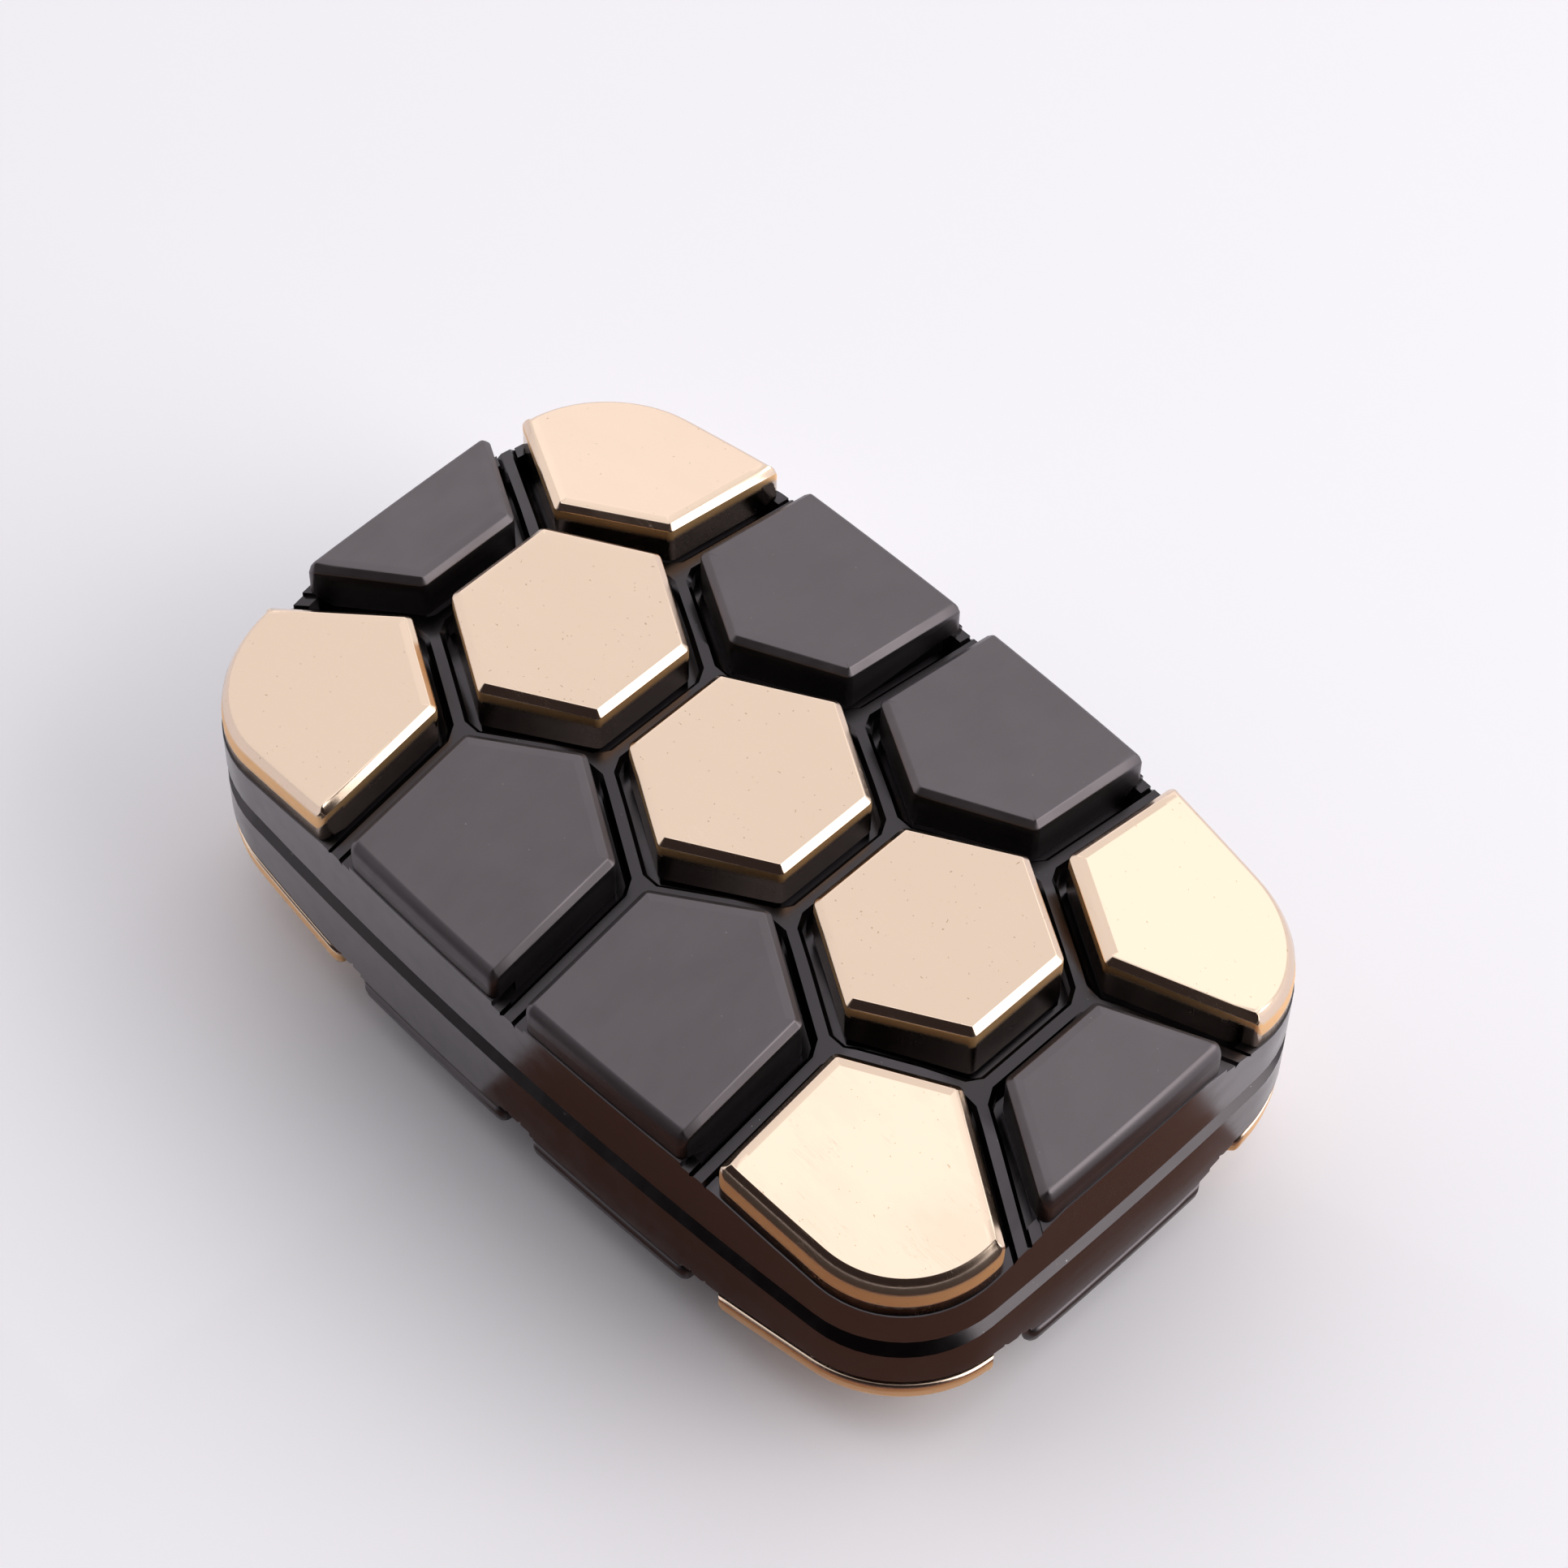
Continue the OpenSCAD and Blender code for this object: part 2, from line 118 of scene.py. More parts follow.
# outline: corner circles tangent to the bowed sides and ends
BOW_SIDE_Y = PLATE_WID / 2 - SIDE_BOW_R
BOW_END_X = PLATE_LEN / 2 - END_BOW_R
BOWS_APART = math.hypot(BOW_END_X, BOW_SIDE_Y)
SIDE_TO_CORNER = SIDE_BOW_R - CORNER_R
END_TO_CORNER = END_BOW_R - CORNER_R
CORNER_ALONG = (END_TO_CORNER ** 2 - SIDE_TO_CORNER ** 2 + BOWS_APART ** 2) / (2 * BOWS_APART)
CORNER_ACROSS = math.sqrt(END_TO_CORNER ** 2 - CORNER_ALONG ** 2)
BOWS_DX = -BOW_END_X / BOWS_APART
BOWS_DY = BOW_SIDE_Y / BOWS_APART
CORNER_CX = BOW_END_X + CORNER_ALONG * BOWS_DX + CORNER_ACROSS * abs(BOWS_DY)
CORNER_CY = CORNER_ALONG * BOWS_DY + CORNER_ACROSS * BOWS_DX
SIDE_TURN = math.atan2(CORNER_CX, CORNER_CY - BOW_SIDE_Y)
END_TURN = math.atan2(CORNER_CY, CORNER_CX - BOW_END_X)

# runs along a quarter of the outline, from the middle of an end to the middle of a side
Q_END = END_BOW_R * END_TURN
Q_CORNER = CORNER_R * (math.pi / 2 - SIDE_TURN - END_TURN)
Q_SIDE = SIDE_BOW_R * SIDE_TURN
Q_ALL = Q_END + Q_CORNER + Q_SIDE


def quarter_angle(s):
    """Normal angle at a run s along the first quarter of the outline."""
    if s < Q_END:
        return s / END_BOW_R
    if s < Q_END + Q_CORNER:
        return END_TURN + (s - Q_END) / CORNER_R
    return math.pi / 2 - SIDE_TURN + (s - Q_END - Q_CORNER) / SIDE_BOW_R


def quarter_run(a):
    """Run along the first quarter of the outline at normal angle a."""
    if a < END_TURN:
        return a * END_BOW_R
    if a < math.pi / 2 - SIDE_TURN:
        return Q_END + (a - END_TURN) * CORNER_R
    return Q_END + Q_CORNER + (a - math.pi / 2 + SIDE_TURN) * SIDE_BOW_R


def outline_point(a, inset=0.0):
    """Point of the outline whose outward normal has angle a."""
    c, s = math.cos(a), math.sin(a)
    q = math.atan2(abs(s), abs(c))
    if q < END_TURN:
        x = BOW_END_X + (END_BOW_R - inset) * math.cos(q)
        y = (END_BOW_R - inset) * math.sin(q)
    elif q > math.pi / 2 - SIDE_TURN:
        x = (SIDE_BOW_R - inset) * math.cos(q)
        y = BOW_SIDE_Y + (SIDE_BOW_R - inset) * math.sin(q)
    else:
        x = CORNER_CX + (CORNER_R - inset) * math.cos(q)
        y = CORNER_CY + (CORNER_R - inset) * math.sin(q)
    return math.copysign(x, c), math.copysign(y, s)


def depth_and_angle(x, y):
    """Distance inside the outline, and the normal's angle there."""
    ax, ay = abs(x), abs(y)
    a = math.atan2(ay - CORNER_CY, ax - CORNER_CX)
    if ax > CORNER_CX - 1 and ay > CORNER_CY - 1 and END_TURN <= a <= math.pi / 2 - SIDE_TURN:
        d = CORNER_R - math.hypot(ax - CORNER_CX, ay - CORNER_CY)
    else:
        ds = SIDE_BOW_R - math.hypot(ax, ay - BOW_SIDE_Y)
        de = END_BOW_R - math.hypot(ax - BOW_END_X, ay)
        if ds < de:
            d, a = ds, math.atan2(ay - BOW_SIDE_Y, ax)
        else:
            d, a = de, math.atan2(ay, ax - BOW_END_X)
    return d, math.atan2(math.copysign(math.sin(a), y), math.copysign(math.cos(a), x))


def full_run(a):
    """Run along the whole outline, anticlockwise from +X, of normal angle a."""
    a %= 2 * math.pi
    k = int(a // (math.pi / 2))
    r = a - k * math.pi / 2
    if k % 2 == 0:
        return k * Q_ALL + quarter_run(r)
    return (k + 1) * Q_ALL - quarter_run(math.pi / 2 - r)


def full_angle(s):
    """Normal angle at a run s along the whole outline."""
    s %= 4 * Q_ALL
    k = int(s // Q_ALL)
    if k % 2 == 0:
        return k * math.pi / 2 + quarter_angle(s - k * Q_ALL)
    return (k + 1) * math.pi / 2 - quarter_angle((k + 1) * Q_ALL - s)


# ---------------------------------------------------------------- tiles
HEX, SIDE, CORNER, END = range(4)
HEXES = [(-PITCH, 0), (0, 0), (PITCH, 0)]
SIDES = [(-PITCH / 2, -ROW_Y), (PITCH / 2, -ROW_Y), (PITCH / 2, ROW_Y), (-PITCH / 2, ROW_Y)]
CORNERS = [
    (-1.5 * PITCH, -ROW_Y), (1.5 * PITCH, -ROW_Y),
    (1.5 * PITCH, ROW_Y), (-1.5 * PITCH, ROW_Y),
]
ENDS = [(-2 * PITCH, 0), (2 * PITCH, 0)]


def base_edges(kind):
    """Normals, in degrees anticlockwise, of the straight edges of the tile in the +X +Y
    corner; the outline closes the loop after the last one."""
    return {
        HEX: [0, 60, 120, 180, 240, 300],
        SIDE: [180, 240, 300, 0],
        CORNER: [180, 240, 300],
        END: [120, 180, 240],
    }[kind]


def slopes(kind):
    """Fall per mm of a tile's top, towards the end and towards the side."""
    return (
        END_SLOPE if kind in (CORNER, END) else 0.0,
        SIDE_SLOPE if kind in (SIDE, CORNER) else 0.0,
    )


def tile_plane(kind, x, y):
    """Height of a tile's top at (x, y) in the +X +Y corner, above the mating face."""
    sx, sy = slopes(kind)
    return HALF_H - sx * (x - END_FALL_X) - sy * (y - SIDE_FALL_Y)


def dome_height(x, y):
    """Height of the dome that the tiles' undersides and the frame follow."""
    fall_x = END_SLOPE * max(0.0, abs(x) - END_FALL_X)
    fall_y = SIDE_SLOPE * max(0.0, abs(y) - SIDE_FALL_Y)
    return HALF_H - fall_x - fall_y


def line_meet(c1, n1, c2, n2):
    """Where two lines meet, each given by its distance and its normal."""
    det = n1[0] * n2[1] - n1[1] * n2[0]
    return ((c1 * n2[1] - c2 * n1[1]) / det, (n1[0] * c2 - n2[0] * c1) / det)


def slide_to_depth(p, d, depth):
    """From p along direction d to where the outline is `depth` away."""
    lo, hi = 0.0, REACH
    for _ in range(HALVINGS):
        mid = (lo + hi) / 2
        if depth_and_angle(p[0] + d[0] * mid, p[1] + d[1] * mid)[0] > depth:
            lo = mid
        else:
            hi = mid
    return (p[0] + d[0] * lo, p[1] + d[1] * lo)


CURVE_STEPS = {SIDE: 12, CORNER: 44, END: 8}


def fillet(p, na, nb, r, wa, wb):
    """Points round a corner at p between normals na and nb, as (x, y, nx, ny, weight)."""
    k = 1 + na[0] * nb[0] + na[1] * nb[1]
    c = (p[0] - r * (na[0] + nb[0]) / k, p[1] - r * (na[1] + nb[1]) / k)
    a0 = math.atan2(na[1], na[0])
    turn = (math.atan2(nb[1], nb[0]) - a0) % (2 * math.pi)
    out = []
    for i in range(FILLET_STEPS + 1):
        t = i / FILLET_STEPS
        a = a0 + turn * t
        w = wa + (wb - wa) * t * t * (3 - 2 * t)
        nx, ny = math.cos(a), math.sin(a)
        out.append((c[0] + r * nx, c[1] + r * ny, nx, ny, w, 0))
    return out


def half_turn(angle, normal):
    """Half the turn between a normal angle and a normal."""
    turn = (angle - math.atan2(normal[1], normal[0])) % (2 * math.pi)
    return min(turn, 2 * math.pi - turn) / 2


def tile_loop(kind, centre, a, b):
    """One level of a tile: straight edges inset by a, its outline edge by b.
    Points are (x, y, nx, ny, weight of the outer edge, 1 over the rim)."""
    edges = base_edges(kind)
    normals = [(math.cos(math.radians(e)), math.sin(math.radians(e))) for e in edges]
    dists = [n[0] * centre[0] + n[1] * centre[1] + TILE_AF / 2 - a for n in normals]
    r_in = max(PLAN_R - a, PLAN_R_MIN)
    n = len(edges)
    pts = []
    if kind == HEX:
        for i in range(n):
            j = (i + 1) % n
            p = line_meet(dists[i], normals[i], dists[j], normals[j])
            pts += fillet(p, normals[i], normals[j], r_in, 0, 0)
        return pts
    corners = [
        line_meet(dists[i], normals[i], dists[i + 1], normals[i + 1]) for i in range(n - 1)
    ]
    first_dir = (normals[0][1], -normals[0][0])
    last_dir = (-normals[-1][1], normals[-1][0])
    inset = TILE_INSET + b
    start = slide_to_depth(corners[0], first_dir, inset)
    stop = slide_to_depth(corners[-1], last_dir, inset)
    r_out = max(PLAN_R - (a + b) / 2, RIM_R_MIN)
    angle_start = depth_and_angle(*start)[1]
    angle_stop = depth_and_angle(*stop)[1]
    n_start = (math.cos(angle_start), math.sin(angle_start))
    n_stop = (math.cos(angle_stop), math.sin(angle_stop))
    # the two straight edges that reach the rim carry a pair of points where the rim begins
    near, far = RIM_W - RIM_STEP, RIM_W + RIM_STEP
    rim = [slide_to_depth(corners[0], first_dir, depth) for depth in (near, far)]
    rim_end = [slide_to_depth(corners[-1], last_dir, depth) for depth in (far, near)]
    pts += fillet(start, n_start, normals[0], r_out, 1, 0)
    pts = [(*p[:5], 1) for p in pts]
    pts.append((*rim[0], *normals[0], 0, 1))
    pts.append((*rim[1], *normals[0], 0, 0))
    for i in range(n - 1):
        pts += fillet(corners[i], normals[i], normals[i + 1], r_in, 0, 0)
    pts.append((*rim_end[0], *normals[-1], 0, 0))
    pts.append((*rim_end[1], *normals[-1], 0, 1))
    pts += [(*p[:5], 1) for p in fillet(stop, normals[-1], n_stop, r_out, 0, 1)]
    s0 = full_run(angle_stop) + r_out * math.tan(half_turn(angle_stop, normals[-1]))
    s1 = full_run(angle_start) - r_out * math.tan(half_turn(angle_start, normals[0]))
    if s1 < s0:
        s1 += 4 * Q_ALL
    steps = CURVE_STEPS[kind]
    for i in range(1, steps):
        ang = full_angle(s0 + (s1 - s0) * i / steps)
        x, y = outline_point(ang, inset)
        pts.append((x, y, math.cos(ang), math.sin(ang), 1, 1))
    return pts


def outer_rounding(kind):
    """(inset, depth) up a tile's outline edge: steep above a crisp lip, then turning level."""
    high = OUTER_HIGH_CORNER if kind == CORNER else OUTER_HIGH
    turns = [OUTER_FOOT] * OUTER_FOOT_STEPS
    turning = OUTER_STEPS - OUTER_FOOT_STEPS
    for k in range(turning):
        share = ((k + 0.5) / turning) ** OUTER_POWER
        turns.append(OUTER_START + (OUTER_STOP - OUTER_START) * share)
    step = high / sum(math.cos(a) for a in turns)
    inset, depth = LIP, high
    points = [(inset, depth)]
    for a in turns:
        inset += step * math.sin(a)
        depth -= step * math.cos(a)
        points.append((inset, max(depth, 0.0)))
    return points


def tile_levels(kind):
    """(inner inset, inner depth, outer inset, outer depth, strip) from the foot to the top."""
    k = EASE * DIAGONAL
    slant = INNER_CUT - 2 * k
    inner = [(0.0, INNER_CUT + EASE), (k * EASE_BEND, INNER_CUT - k * EASE_NUDGE)]
    for t in range(INNER_STEPS + 1):
        run = slant * t / INNER_STEPS
        inner.append((k + run, INNER_CUT - k - run))
    inner += [(INNER_CUT + k * EASE_NUDGE, k * EASE_BEND), (INNER_CUT + EASE, 0.0)]
    rise = outer_rounding(kind)
    high = rise[0][1]
    crisp_point = (LIP + CRISP * math.sin(OUTER_FOOT), high - CRISP * math.cos(OUTER_FOOT))
    outer = [(0.0, high + EASE), rise[0], crisp_point, *rise[1:]]
    levels = [(0.0, None, 0.0, None, 0.0)]
    levels += [(*side, *rim, 1.0) for side, rim in zip(inner, outer)]
    flat_in = INNER_CUT + EASE + STRIP_W
    rim_in = outer[-1][0]
    levels.append((flat_in, 0.0, rim_in + FLAT_OUT[0], 0.0, 0.0))
    levels.append((flat_in + FLAT_IN, 0.0, rim_in + FLAT_OUT[1], 0.0, 0.0))
    return levels


def mirror_of(centre):
    """Signs that carry a tile of the +X +Y corner to this centre."""
    return (-1 if centre[0] < 0 else 1, -1 if centre[1] < 0 else 1)


def build_mesh(name, verts, faces, mat):
    """Smooth-shaded mesh object from corners in mm."""
    mesh = bpy.data.meshes.new(name)
    mesh.from_pydata([Vector(v) * MM for v in verts], [], faces)
    mesh.validate()
    mesh.update()
    obj = bpy.data.objects.new(name, mesh)
    bpy.context.scene.collection.objects.link(obj)
    mesh.materials.append(mat)
    for p in mesh.polygons:
        p.use_smooth = True
    return obj


def place(half, x, y, z):
    """A point of a half, given with its mating face at 0 and its tiles up, in the part's frame."""
    if half == "upper":
        return (x, y, HALF_H + SEAM_GAP + z)
    return (x, y, HALF_H - z)


def weigh_normals(obj):
    """Let large faces rule the shading, and keep crisp edges crisp."""
    mod = obj.modifiers.new("normals", "WEIGHTED_NORMAL")
    mod.weight = NORMAL_WEIGHT
    mod.keep_sharp = True


def tile_mesh(half, name, kind, centre, mat):
    """A tile as stacked loops, closed by its top and its underside."""
    mx, my = mirror_of(centre)
    c = (abs(centre[0]), abs(centre[1]))
    if kind == HEX:
        mx, my, c = 1, 1, centre
    sx, sy = slopes(kind)
    seat = CORNER_SEAT if kind == CORNER else SIDE_SEAT
    loops = []
    for a, da, b, db, strip in tile_levels(kind):
        loop = []
        for x, y, nx, ny, w, over_rim in tile_loop(kind, c, a, b):
            if da is None:
                z = dome_height(x, y) - (seat if over_rim else TILE_DEEP)
            else:
                up = max(0.0, -(sx * nx + sy * ny)) * STRIP_W * strip * (1 - w)
                z = tile_plane(kind, x, y) - (da + (db - da) * w + up)
            loop.append(place(half, mx * x, my * y, z))
        loops.append(loop)
    flip = (mx * my < 0) != (half == "lower")
    verts, faces = [], []
    n = len(loops[0])
    for loop in loops:
        verts += loop
    for k in range(len(loops) - 1):
        for i in range(n):
            j = (i + 1) % n
            quad = (k * n + i, k * n + j, (k + 1) * n + j, (k + 1) * n + i)
            faces.append(quad[::-1] if flip else quad)
    top = tuple((len(loops) - 1) * n + i for i in range(n))
    foot = tuple(range(n - 1, -1, -1))
    faces.append(top[::-1] if flip else top)
    faces.append(foot[::-1] if flip else foot)
    obj = build_mesh(name, verts, faces, mat)
    weigh_normals(obj)
    return obj


# ---------------------------------------------------------------- materials
BRASS_TINT = (0.805, 0.628, 0.492)
# orange-gold of the upright brass walls: painted warm reflection
BRASS_WALL_PAINTED_WARM_REFLECTION = (0.93, 0.56, 0.26)
BRASS_SPECK = (0.40, 0.26, 0.14)
DUST = (0.40, 0.38, 0.37)
DUST_EDGE = 0.03
LINE_SHADE = 0.92


def new_material(name):
    mat = bpy.data.materials.new(name)
    mat.use_nodes = True
    tree = mat.node_tree
    return mat, tree, tree.nodes["Principled BSDF"]


def add(tree, kind, **props):
    """A new shader node with these properties."""
    node = tree.nodes.new(kind)
    for key, value in props.items():
        setattr(node, key, value)
    return node


def mm_coords(tree, stretch=(1, 1, 1), turn=(0, 0, 0), shift=(0, 0, 0)):
    """Object coordinates in mm."""
    coord = add(tree, "ShaderNodeTexCoord")
    mapping = add(tree, "ShaderNodeMapping")
    mapping.inputs["Scale"].default_value = [s / MM for s in stretch]
    mapping.inputs["Rotation"].default_value = turn
    mapping.inputs["Location"].default_value = shift
    tree.links.new(coord.outputs["Object"], mapping.inputs["Vector"])
    return mapping.outputs["Vector"]


def noise(tree, vector, scale, detail=3.0, rough=0.55):
    node = add(tree, "ShaderNodeTexNoise")
    node.inputs["Scale"].default_value = scale
    node.inputs["Detail"].default_value = detail
    node.inputs["Roughness"].default_value = rough
    tree.links.new(vector, node.inputs["Vector"])
    return node.outputs["Fac"]


def ramp(tree, value, low, high, out_low=0.0, out_high=1.0):
    """Eased change from out_low to out_high as the value runs from low to high."""
    node = add(tree, "ShaderNodeMapRange", interpolation_type="SMOOTHSTEP")
    node.inputs["From Min"].default_value = low
    node.inputs["From Max"].default_value = high
    node.inputs["To Min"].default_value = out_low
    node.inputs["To Max"].default_value = out_high
    tree.links.new(value, node.inputs["Value"])
    return node.outputs["Result"]


def math_node(tree, op, a, b):
    node = add(tree, "ShaderNodeMath", operation=op)
    for k, v in enumerate((a, b)):
        if isinstance(v, (int, float)):
            node.inputs[k].default_value = v
        else:
            tree.links.new(v, node.inputs[k])
    return node.outputs[0]


# sockets of the colour mix node
MIX_A = 6
MIX_B = 7
MIX_RESULT = 2


def mix_color(tree, fac, a, b, blend="MIX"):
    node = add(tree, "ShaderNodeMix", data_type="RGBA", blend_type=blend)
    if isinstance(fac, (int, float)):
        node.inputs[0].default_value = fac
    else:
        tree.links.new(fac, node.inputs[0])
    for k, v in ((MIX_A, a), (MIX_B, b)):
        if isinstance(v, tuple):
            node.inputs[k].default_value = (*v, 1)
        else:
            tree.links.new(v, node.inputs[k])
    return node.outputs[MIX_RESULT]


def bump(tree, height, distance_mm, strength):
    node = add(tree, "ShaderNodeBump")
    node.inputs["Strength"].default_value = strength
    node.inputs["Distance"].default_value = distance_mm * MM
    tree.links.new(height, node.inputs["Height"])
    return node.outputs["Normal"]


def scratches(tree, turn, width=0.012, shift=(0, 0, 0)):
    """Sparse hairlines along one direction: 1 on a scratch."""
    vec = mm_coords(tree, stretch=(0.05, 1.0, 0.3), turn=(0, 0, turn), shift=shift)
    lines = noise(tree, vec, 5.0, detail=1.0)
    breaks = noise(tree, mm_coords(tree, shift=shift), 0.35, detail=2.0)
    off = math_node(tree, "ABSOLUTE", math_node(tree, "SUBTRACT", lines, 0.5), 0)
    thin = ramp(tree, off, 0.0, width, 1.0, 0.0)
    gate = ramp(tree, breaks, 0.52, 0.66)
    return math_node(tree, "MULTIPLY", thin, gate)


def wall_mask(tree):
    """1 on upright walls, 0 on tops and bevels."""
    geometry = add(tree, "ShaderNodeNewGeometry")
    split = add(tree, "ShaderNodeSeparateXYZ")
    tree.links.new(geometry.outputs["Normal"], split.inputs[0])
    lean = math_node(tree, "ABSOLUTE", split.outputs["Z"], 0)
    return ramp(tree, lean, 0.15, 0.38, 1.0, 0.0)


def brass_material(name):
    """Polished tops with rare specks and hairlines; walls left as machined and duller, and tinted a
    deeper orange-gold as a painted warm reflection.
    """
    mat, tree, bsdf = new_material(name)
    wall = wall_mask(tree)
    tree.links.new(ramp(tree, wall, 0.0, 1.0, 1.0, 0.74), bsdf.inputs["Metallic"])
    fine = noise(tree, mm_coords(tree), 9.0, detail=3.0)
    wiped = mm_coords(tree, stretch=(0.35, 1.0, 1.0), turn=(0, 0, -0.6))
    smudge = noise(tree, wiped, 0.35, detail=5.0, rough=0.6)
    specks = ramp(tree, noise(tree, mm_coords(tree, shift=(3, 7, 1)), 6.5, detail=0.0), 0.82, 0.86)
    hair = math_node(tree, "MAXIMUM", scratches(tree, 0.75), scratches(tree, -0.5, shift=(9, 4, 2)))
    cutter = noise(tree, mm_coords(tree, stretch=(0.08, 0.08, 3.0)), 4.0, detail=3.0)
    # upright walls take the deeper orange-gold tint: painted warm reflection
    metal = mix_color(tree, wall, BRASS_TINT, BRASS_WALL_PAINTED_WARM_REFLECTION)
    color = mix_color(tree, math_node(tree, "MULTIPLY", specks, 0.55), metal, BRASS_SPECK)
    tree.links.new(color, bsdf.inputs["Base Color"])
    rough = ramp(tree, smudge, 0.35, 0.75, 0.15, 0.22)
    rough = math_node(tree, "ADD", rough, math_node(tree, "MULTIPLY", hair, 0.12))
    dull = ramp(tree, cutter, 0.3, 0.7, 0.20, 0.32)
    rough = math_node(tree, "ADD", rough, math_node(tree, "MULTIPLY", wall, dull))
    tree.links.new(rough, bsdf.inputs["Roughness"])
    grain = math_node(tree, "MULTIPLY", fine, 0.12)
    height = math_node(tree, "SUBTRACT", grain, math_node(tree, "MULTIPLY", hair, 0.5))
    tree.links.new(bump(tree, height, 0.0018, 0.35), bsdf.inputs["Normal"])
    return mat


def black_material(name, reflect, painted_wall_tone, rough_low, rough_high, grain, dust):
    """Satin black coat; its upright walls take their own tone: brighter on the body, a painted
    reflection of bright surroundings, and a little darker on the tiles.
    """
    mat, tree, bsdf = new_material(name)
    bsdf.inputs["Metallic"].default_value = 1.0
    cloud = noise(tree, mm_coords(tree), 0.3, detail=4.0)
    blast = noise(tree, mm_coords(tree), 14.0, detail=2.0)
    wipe = noise(tree, mm_coords(tree, stretch=(1.0, 0.3, 1.0), turn=(0, 0, 0.5)), 0.8, detail=5.0)
    hair = scratches(tree, 0.4, width=0.008, shift=(2, 5, 8))
    # upright walls get their own colour by facing: painted reflection on the body's brighter walls
    color = mix_color(tree, wall_mask(tree), reflect, painted_wall_tone)
    worn = mix_color(tree, ramp(tree, cloud, 0.35, 0.65), (0.96, 0.96, 0.96), (1.0, 1.0, 1.0))
    color = mix_color(tree, 1.0, color, worn, blend="MULTIPLY")
    dots = noise(tree, mm_coords(tree, shift=(1, 2, 3)), 8.0, detail=0.0)
    flecks = ramp(tree, dots, dust, dust + DUST_EDGE)
    color = mix_color(tree, math_node(tree, "MULTIPLY", flecks, 0.5), color, DUST)
    tree.links.new(color, bsdf.inputs["Base Color"])
    rough = ramp(tree, wipe, 0.35, 0.7, rough_low, rough_high)
    tree.links.new(rough, bsdf.inputs["Roughness"])
    height = math_node(tree, "SUBTRACT", blast, math_node(tree, "MULTIPLY", hair, 0.4))
    tree.links.new(bump(tree, height, 0.004, grain), bsdf.inputs["Normal"])
    return mat


def steel_material(name, tint, rough):
    """Ground metal with fine lines along X."""
    mat, tree, bsdf = new_material(name)
    bsdf.inputs["Metallic"].default_value = 1.0
    lines = noise(tree, mm_coords(tree, stretch=(0.1, 2.0, 2.0)), 6.0, detail=3.0)
    color = mix_color(tree, ramp(tree, lines, 0.3, 0.7), tuple(c * LINE_SHADE for c in tint), tint)
    tree.links.new(color, bsdf.inputs["Base Color"])
    tree.links.new(ramp(tree, lines, 0.3, 0.7, rough * 0.8, rough * 1.3), bsdf.inputs["Roughness"])
    tree.links.new(bump(tree, lines, 0.003, 0.5), bsdf.inputs["Normal"])
    return mat


BRASS = brass_material("satin_brass")
BLACK_TILE = black_material(
    "black_tile_coat", (0.138, 0.122, 0.130), (0.120, 0.108, 0.114), 0.40, 0.46,
    grain=0.40, dust=0.88,
)
# body walls much brighter than its tops, ribs and grooves: painted reflection of bright
# surroundings
BLACK_BODY = black_material(
    "black_body_coat", (0.064, 0.058, 0.062), (0.150, 0.137, 0.146), 0.20, 0.27,
    grain=0.12, dust=0.86,
)
STEEL = steel_material("ground_steel", (0.62, 0.61, 0.60), 0.28)
NICKEL = steel_material("nickel_plate", (0.70, 0.67, 0.62), 0.16)

# ---------------------------------------------------------------- pieces
for half in ("lower", "upper"):
    for stem, kind, centres, mat in (
        ("hex", HEX, HEXES, BRASS), ("side", SIDE, SIDES, BLACK_TILE),
        ("corner", CORNER, CORNERS, BRASS), ("end", END, ENDS, BLACK_TILE),
    ):
        for k, centre in enumerate(centres):
            node = f"{half}_{stem}_{k + 1}"
            tile = tile_mesh(half, "look_" + node, kind, centre, mat)
            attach(tile, half + "_half")
            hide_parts(node)


def crease_group():
    """Geometry nodes that smooth every face and keep edges over CREASE_ANGLE crisp."""
    group = bpy.data.node_groups.new("crease", "GeometryNodeTree")
    group.interface.new_socket("Geometry", in_out="INPUT", socket_type="NodeSocketGeometry")
    group.interface.new_socket("Geometry", in_out="OUTPUT", socket_type="NodeSocketGeometry")
    start = group.nodes.new("NodeGroupInput")
    end = group.nodes.new("NodeGroupOutput")
    faces = group.nodes.new("GeometryNodeSetShadeSmooth")
    edges = group.nodes.new("GeometryNodeSetShadeSmooth")
    edges.domain = "EDGE"
    edges.inputs["Shade Smooth"].default_value = False
    angle = group.nodes.new("GeometryNodeInputMeshEdgeAngle")
    over = group.nodes.new("ShaderNodeMath")
    over.operation = "GREATER_THAN"
    over.inputs[1].default_value = CREASE_ANGLE
    group.links.new(angle.outputs["Unsigned Angle"], over.inputs[0])
    group.links.new(over.outputs[0], edges.inputs["Selection"])
    group.links.new(start.outputs[0], faces.inputs["Geometry"])
    group.links.new(faces.outputs["Geometry"], edges.inputs["Geometry"])
    group.links.new(edges.outputs["Geometry"], end.inputs[0])
    return group


CREASE = crease_group()


def finish_node(name, mat, edge_mm):
    """Dress a CAD node: material, rounded edges of edge_mm if any, and clean shading."""
    obj = nodes[name]
    obj.data.materials.clear()
    obj.data.materials.append(mat)
    weld = obj.modifiers.new("weld", "WELD")
    weld.merge_threshold = WELD * MM
    if edge_mm:
        ease = obj.modifiers.new("ease", "BEVEL")
        ease.width = edge_mm * MM
        ease.segments = 2
        ease.limit_method = "ANGLE"
        ease.angle_limit = CREASE_ANGLE
        ease.use_clamp_overlap = False
        ease.miter_outer = "MITER_ARC"
    crease = obj.modifiers.new("crease", "NODES")
    crease.node_group = CREASE
    weigh_normals(obj)


for name in sorted(nodes):
    if "base" in name or "frame" in name:
        finish_node(name, BLACK_BODY, 0)
    elif "magnet" in name:
        finish_node(name, NICKEL, MAGNET_EDGE)
    elif "screw" in name or "key" in name:
        finish_node(name, STEEL, STEEL_EDGE)

